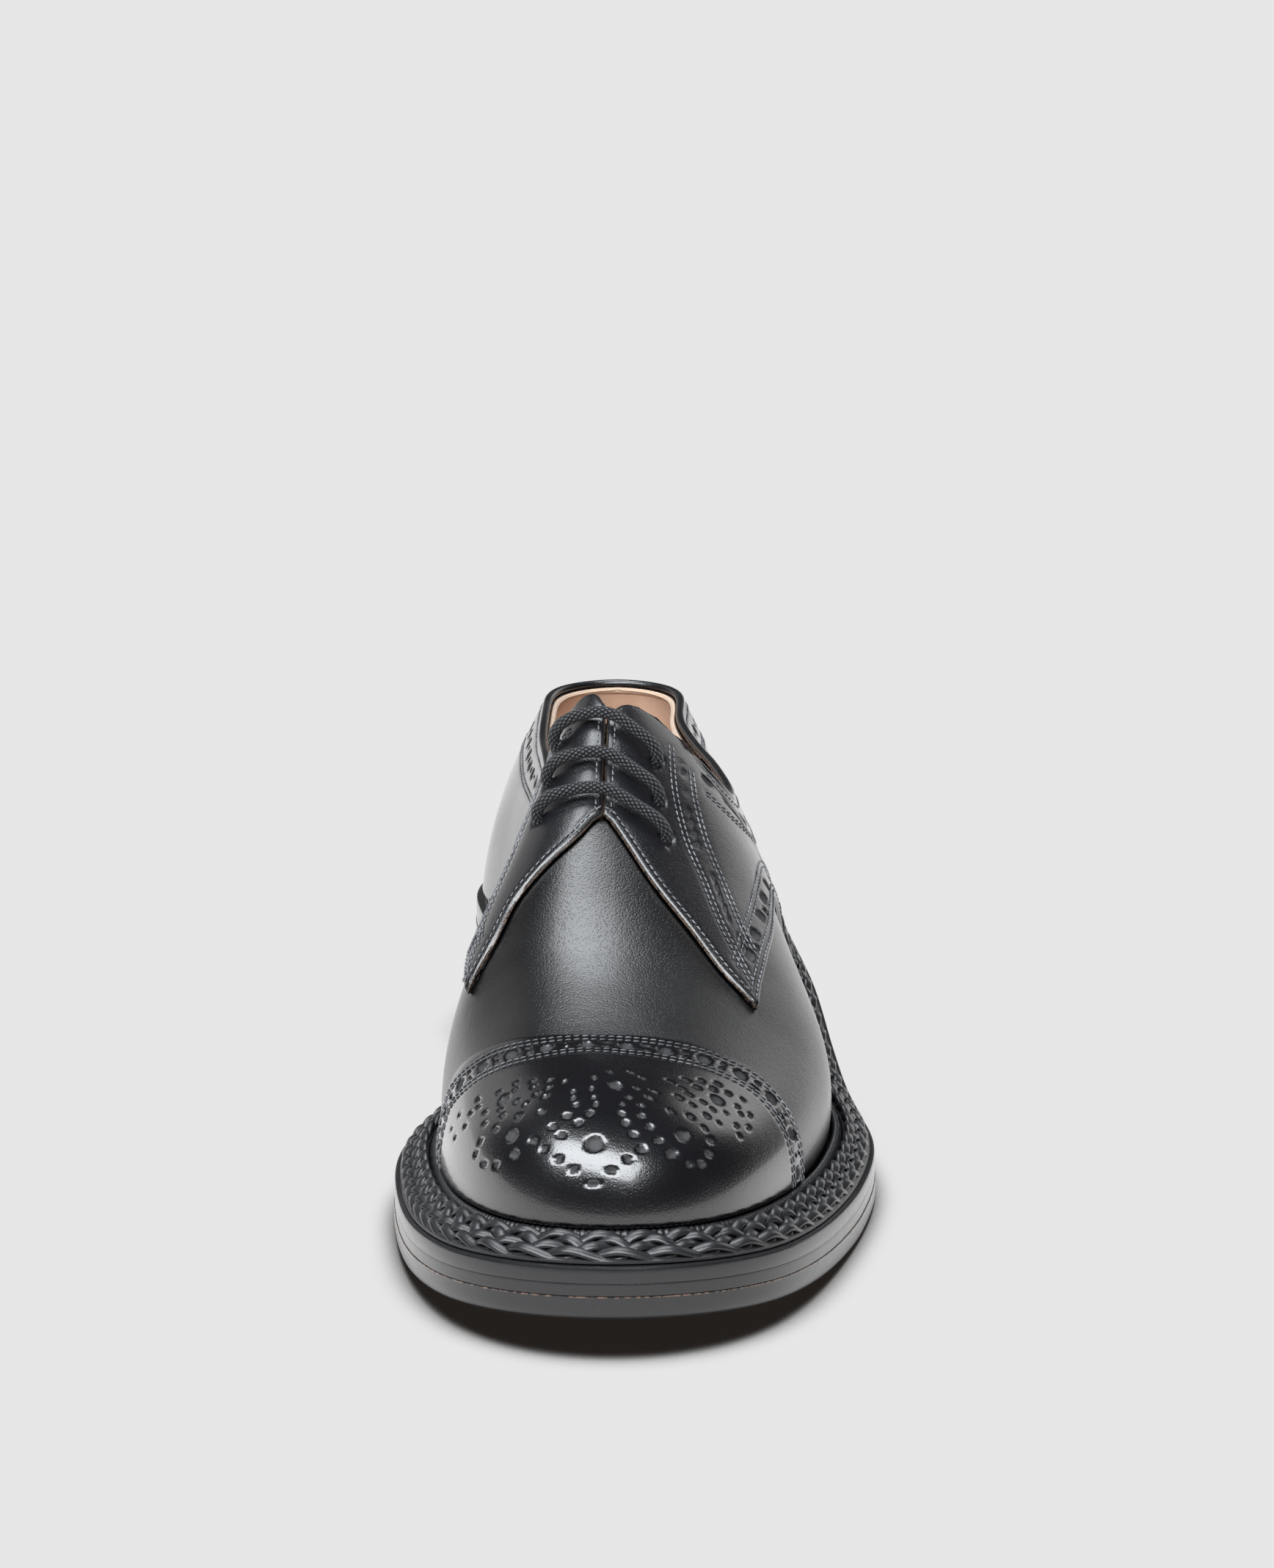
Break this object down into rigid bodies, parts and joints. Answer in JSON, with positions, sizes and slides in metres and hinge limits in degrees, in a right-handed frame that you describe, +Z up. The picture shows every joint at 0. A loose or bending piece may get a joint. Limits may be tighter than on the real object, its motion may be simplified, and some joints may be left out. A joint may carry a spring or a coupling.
{
  "type": "brogue derby shoe",
  "caption": "Left brogue derby shoe with a perforated toe cap, laced facings, a braided welt and a stacked heel.",
  "frame": {"origin": "middle of the shoe's box, on the floor that the heel and the forefoot stand on", "axes": "+Z up, +Y from the toe to the heel, +X to the outer side of the foot"},
  "size_m": [0.115, 0.302, 0.111],
  "materials": {
    "back_strip": "polished black calf",
    "braided_welt": "black waxed edge",
    "heel_lift_1": "black waxed edge",
    "heel_lift_2": "black waxed edge",
    "heel_lift_3": "black waxed edge",
    "heel_top_piece": "matt black rubber",
    "insole": "natural vegetable-tanned lining",
    "lace": "round braided cotton, waxed",
    "midsole": "black waxed edge",
    "outsole": "black waxed edge",
    "quarter_lateral": "polished black calf",
    "quarter_medial": "polished black calf",
    "rand": "black waxed edge",
    "toe_cap": "polished black calf",
    "tongue": "polished black calf",
    "upper": "polished black calf"
  },
  "bodies": {
    "root": {"back_strip": "back_strip", "braided_welt": "braided_welt", "heel_lift_1": "heel_lift_1", "heel_lift_2": "heel_lift_2", "heel_lift_3": "heel_lift_3", "heel_top_piece": "heel_top_piece", "insole": "insole", "lace": "lace", "midsole": "midsole", "outsole": "outsole", "quarter_lateral": "quarter_lateral", "quarter_medial": "quarter_medial", "rand": "rand", "toe_cap": "toe_cap", "tongue": "tongue", "upper": "upper"}
  },
  "joints": []
}
